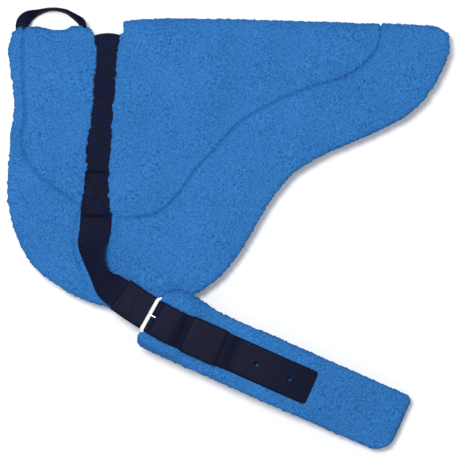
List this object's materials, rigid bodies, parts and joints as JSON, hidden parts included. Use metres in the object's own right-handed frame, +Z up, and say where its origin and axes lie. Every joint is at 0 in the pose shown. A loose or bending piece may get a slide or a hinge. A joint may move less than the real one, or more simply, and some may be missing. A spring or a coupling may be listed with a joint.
{
  "type": "bareback pad",
  "caption": "Padded fleece bareback pad folded on its spine, with withers handle, web surcingle and a buckled cinch laid flat beside it.",
  "frame": {"origin": "a point of the floor plane under the pad, on the flat outer face of the off half", "axes": "+X from the withers to the tail, +Y from the lower edge up to the spine, +Z up from the floor"},
  "size_m": [0.725, 0.74, 0.082],
  "materials": {
    "fleece": "deep pile fleece",
    "lining": "short pile fleece",
    "felt_core": "felt",
    "nylon_web": "ribbed woven web",
    "smooth_strap": "smooth flat-woven strap",
    "chrome_wire": "polished"
  },
  "bodies": {
    "off_half": {"off_lining": "lining", "off_core": "felt_core", "off_fleece_cover": "fleece", "off_surcingle_web": "nylon_web", "off_tug_lap": "nylon_web"},
    "near_half": {"near_lining": "lining", "near_core": "felt_core", "near_fleece_cover": "fleece", "near_surcingle_web": "nylon_web", "near_tug_lap": "nylon_web"},
    "spine": {"spine_lining_front": "lining", "spine_core_front": "felt_core", "spine_fleece_front": "fleece", "spine_lining_rear": "lining", "spine_core_rear": "felt_core", "spine_fleece_rear": "fleece", "surcingle_fold_web": "nylon_web", "handle_foot_front": "nylon_web", "handle_foot_rear": "nylon_web"},
    "handle": {"handle_web": "nylon_web"},
    "near_strap": {"near_tug_web": "nylon_web", "near_billet": "smooth_strap", "girth_upper_lining": "fleece", "girth_upper_core": "felt_core", "girth_upper_cover": "fleece", "girth_fold_lining": "fleece", "girth_fold_core": "felt_core", "girth_fold_cover": "fleece", "near_chape": "smooth_strap", "near_keeper": "smooth_strap", "near_buckle_frame": "chrome_wire"},
    "near_tongue": {"near_buckle_tongue": "chrome_wire"},
    "girth_lower": {"girth_lower_lining": "fleece", "girth_lower_core": "felt_core", "girth_lower_cover": "fleece", "off_chape": "smooth_strap", "off_keeper": "smooth_strap"},
    "off_buckle": {"off_buckle_frame": "chrome_wire"},
    "off_tongue": {"off_buckle_tongue": "chrome_wire"},
    "off_strap": {"off_tug_web": "nylon_web", "off_billet": "smooth_strap"}
  },
  "joints": [
    {"name": "spine_fold", "type": "hinge", "parent": "off_half", "child": "near_half", "pos_m": [0, 0.157, 0.023], "axis": [-1, 0, 0], "range_deg": [0, 178], "deforming": ["spine_lining_front", "spine_core_front", "spine_fleece_front", "spine_lining_rear", "spine_core_rear", "spine_fleece_rear", "surcingle_fold_web", "handle_foot_front", "handle_foot_rear"]},
    {"name": "spine_roll", "type": "hinge", "parent": "off_half", "child": "spine", "pos_m": [0, 0.157, 0.023], "axis": [-1, 0, 0], "range_deg": [0, 89]},
    {"name": "handle_swing", "type": "hinge", "parent": "spine", "child": "handle", "pos_m": [-0.22845, 0.18979, 0.01474], "axis": [1, 0, 0], "range_deg": [0, 60], "deforming": ["handle_foot_front", "handle_foot_rear"]},
    {"name": "near_tug_lift", "type": "hinge", "parent": "near_half", "child": "near_strap", "pos_m": [-0.121, -0.1435, 0.0456], "axis": [-0.9979, 0.0652, 0], "range_deg": [0, 120]},
    {"name": "near_tongue_lift", "type": "hinge", "parent": "near_strap", "child": "near_tongue", "pos_m": [0.00406, -0.3205, 0.0716], "axis": [0.4823, 0.876, 0], "range_deg": [0, 4]},
    {"name": "girth_fold", "type": "hinge", "parent": "near_strap", "child": "girth_lower", "pos_m": [0.37195, -0.48501, 0.0173], "axis": [-0.4067, -0.9135, 0], "range_deg": [0, 178], "deforming": ["girth_fold_lining", "girth_fold_core", "girth_fold_cover"]},
    {"name": "off_buckle_swing", "type": "hinge", "parent": "girth_lower", "child": "off_buckle", "pos_m": [0.14631, -0.38455, 0.0069], "axis": [-0.4067, -0.9135, 0], "range_deg": [0, 60]},
    {"name": "off_tongue_swing", "type": "hinge", "parent": "off_buckle", "child": "off_tongue", "pos_m": [0.14631, -0.38455, 0.0069], "axis": [-0.4067, -0.9135, 0], "range_deg": [0, 70]},
    {"name": "off_tug_swing", "type": "hinge", "parent": "off_half", "child": "off_strap", "pos_m": [-0.121, -0.1435, 0.0004], "axis": [0.9979, -0.0652, 0], "range_deg": [0, 120]}
  ],
  "couplings": [
    {"joint": "spine_roll", "follows": "spine_fold", "ratio": 0.5}
  ]
}
